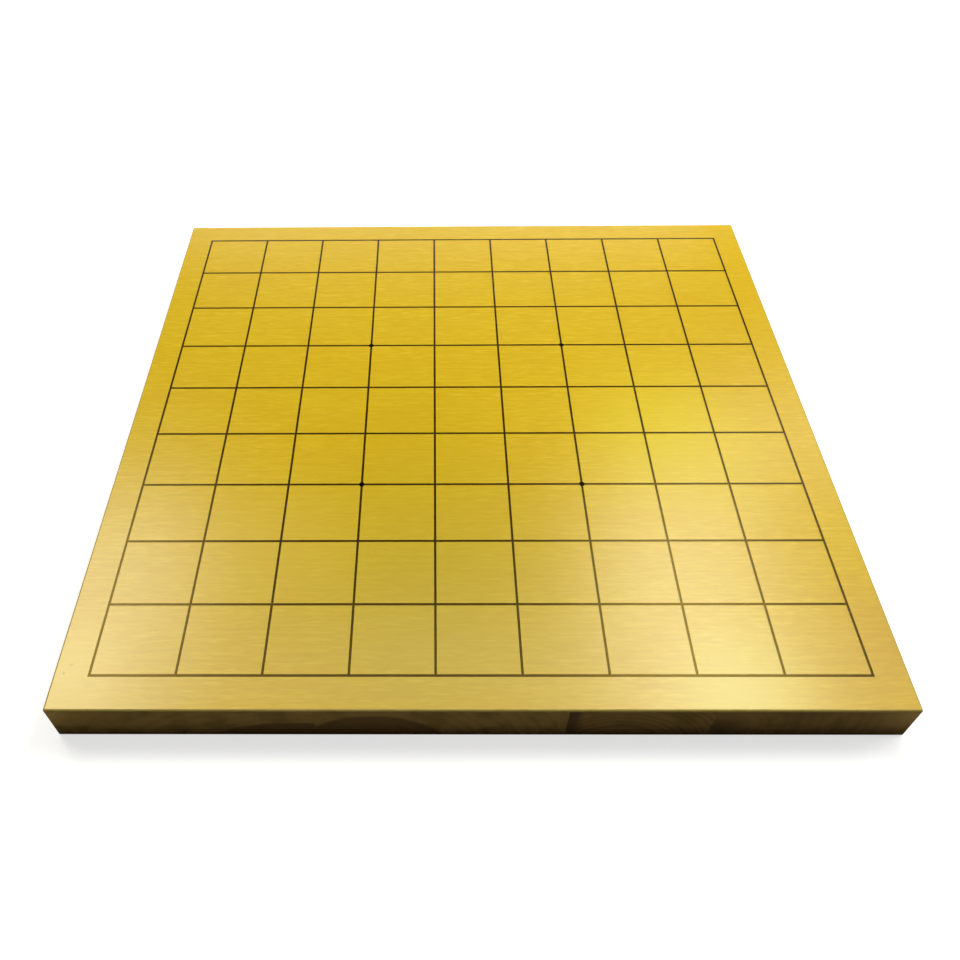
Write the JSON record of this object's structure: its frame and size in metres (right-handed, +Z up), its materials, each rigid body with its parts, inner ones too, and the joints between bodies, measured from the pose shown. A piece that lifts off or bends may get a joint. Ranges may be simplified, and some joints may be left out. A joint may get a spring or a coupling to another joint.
{
  "type": "shogi board",
  "caption": "Flat table board for shogi: solid core staves glued edge to edge between two veneers, with a printed grid and star points on a lacquered face.",
  "frame": {"origin": "middle of the underside, where the board rests", "axes": "+X along the board's length, which runs from one player's end to the other's; +Y across it; +Z up, out of the playing face"},
  "size_m": [0.364, 0.333, 0.0241],
  "materials": {
    "face_veneer": "straight-grained veneer under semi-gloss amber lacquer",
    "back_veneer": "straight-grained veneer under satin lacquer",
    "core_stave": "sawn and sanded softwood under semi-gloss lacquer",
    "grid_ink": "screen-printed black ink film"
  },
  "bodies": {
    "root": {"back_veneer": "back_veneer", "core_stave_1": "core_stave", "core_stave_2": "core_stave", "core_stave_3": "core_stave", "core_stave_4": "core_stave", "face_veneer": "face_veneer", "file_lines": "grid_ink", "rank_lines": "grid_ink", "star_points": "grid_ink"}
  },
  "joints": []
}
